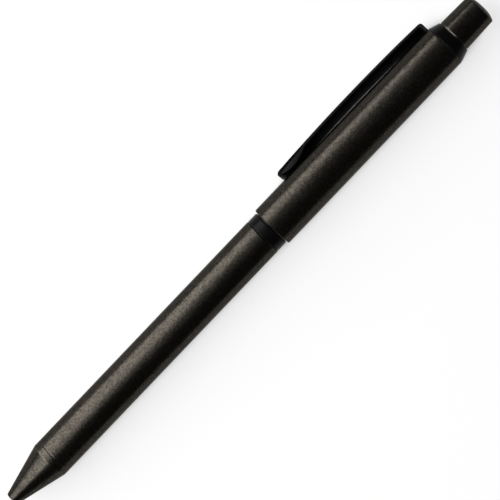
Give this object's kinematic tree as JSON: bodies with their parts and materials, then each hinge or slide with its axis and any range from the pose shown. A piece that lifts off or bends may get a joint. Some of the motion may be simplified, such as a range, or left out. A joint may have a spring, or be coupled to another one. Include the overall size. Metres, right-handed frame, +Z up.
{
  "type": "multifunction pen",
  "caption": "Slim twist-action multifunction pen with a ballpoint, a fine pencil, a sprung side clip and a push cap over an eraser, lying on its side.",
  "frame": {"origin": "middle of the pen's footprint, on the surface it lies on", "axes": "+X along the pen from the nose to the push cap, +Z up, the clip on the +Y side with its edge on the surface"},
  "size_m": [0.1424, 0.0124, 0.0098],
  "materials": {
    "body_paint": "satin gunmetal paint with a fine speckle",
    "black_gloss": "gloss black",
    "brass": "turned",
    "bare_steel": "drawn and turned",
    "spring_steel": "drawn wire",
    "white_plastic": "moulded",
    "black_plastic": "moulded",
    "eraser_rubber": "matt",
    "seal_rubber": "matt",
    "graphite": "polymer graphite lead"
  },
  "bodies": {
    "centre": {"centre_connector": "black_gloss", "friction_ring": "seal_rubber", "guide_tube": "brass", "ballpoint_spring": "spring_steel", "pencil_spring": "spring_steel"},
    "front_barrel": {"nose_cone": "body_paint", "lower_barrel": "body_paint"},
    "upper_barrel": {"upper_barrel": "body_paint", "clip_ring": "black_gloss", "tail_collar": "black_gloss", "selector_cam": "brass", "knock_spring": "spring_steel"},
    "clip_arm": {"clip": "black_gloss"},
    "plunger": {"plunger": "black_plastic", "eraser_ferrule": "brass", "eraser": "eraser_rubber"},
    "push_cap": {"push_cap": "body_paint"},
    "ballpoint_carrier": {"ballpoint_carrier": "black_plastic"},
    "ballpoint_refill": {"ink_tube": "bare_steel", "ballpoint_tip": "brass", "tip_ball": "bare_steel"},
    "pencil_carrier": {"pencil_carrier": "white_plastic"},
    "pencil_unit": {"pencil_tube": "bare_steel", "pencil_cone": "bare_steel", "lead_pipe": "bare_steel", "chuck": "brass", "chuck_ring": "brass", "chuck_spring": "spring_steel", "lead_reservoir": "white_plastic"},
    "lead": {"lead": "graphite"}
  },
  "joints": [
    {"name": "selector_twist", "type": "hinge", "parent": "centre", "child": "upper_barrel", "pos_m": [0.00805, -0.00133, 0.0049], "axis": [1, 0, 0], "range_deg": [-90, 90]},
    {"name": "front_barrel_draw", "type": "slide", "parent": "centre", "child": "front_barrel", "axis": [-1, 0, 0], "range_m": [0, 0.078]},
    {"name": "clip_flex", "type": "hinge", "parent": "upper_barrel", "child": "clip_arm", "pos_m": [0.05975, 0.00369, 0.00285], "axis": [0, -0.3784, -0.9256], "range_deg": [0, 4.5], "stiffness_Nm_per_rad": 0.06, "springref_deg": -5.73},
    {"name": "cap_knock", "type": "slide", "parent": "upper_barrel", "child": "plunger", "axis": [-1, 0, 0], "range_m": [0, 0.003], "stiffness_N_per_m": 200, "springref_m": -0.003, "deforming": ["knock_spring"]},
    {"name": "cap_pull", "type": "slide", "parent": "plunger", "child": "push_cap", "axis": [1, 0, 0], "range_m": [0, 0.014]},
    {"name": "ballpoint_slide", "type": "slide", "parent": "centre", "child": "ballpoint_carrier", "axis": [-1, 0, 0], "range_m": [-0.005, 0.005], "deforming": ["ballpoint_spring"]},
    {"name": "ballpoint_flex", "type": "hinge", "parent": "ballpoint_carrier", "child": "ballpoint_refill", "pos_m": [-0.00175, -0.00046, 0.00703], "axis": [0, -0.9256, 0.3784], "range_deg": [-0.98, 0.98]},
    {"name": "pencil_slide", "type": "slide", "parent": "centre", "child": "pencil_carrier", "axis": [-1, 0, 0], "range_m": [-0.005, 0.005], "deforming": ["pencil_spring"]},
    {"name": "pencil_flex", "type": "hinge", "parent": "pencil_carrier", "child": "pencil_unit", "pos_m": [-0.00175, -0.0022, 0.00277], "axis": [0, 0.9256, -0.3784], "range_deg": [-0.98, 0.98]},
    {"name": "lead_feed", "type": "slide", "parent": "pencil_unit", "child": "lead", "axis": [-0.9999, 0.0065, 0.0159], "range_m": [0, 0.0006]}
  ],
  "couplings": [
    {"joint": "ballpoint_slide", "follows": "selector_twist", "m_per_rad": 0.003183},
    {"joint": "ballpoint_flex", "follows": "selector_twist", "ratio": 0.010928},
    {"joint": "pencil_slide", "follows": "selector_twist", "m_per_rad": -0.003183},
    {"joint": "pencil_flex", "follows": "selector_twist", "ratio": -0.010928}
  ]
}
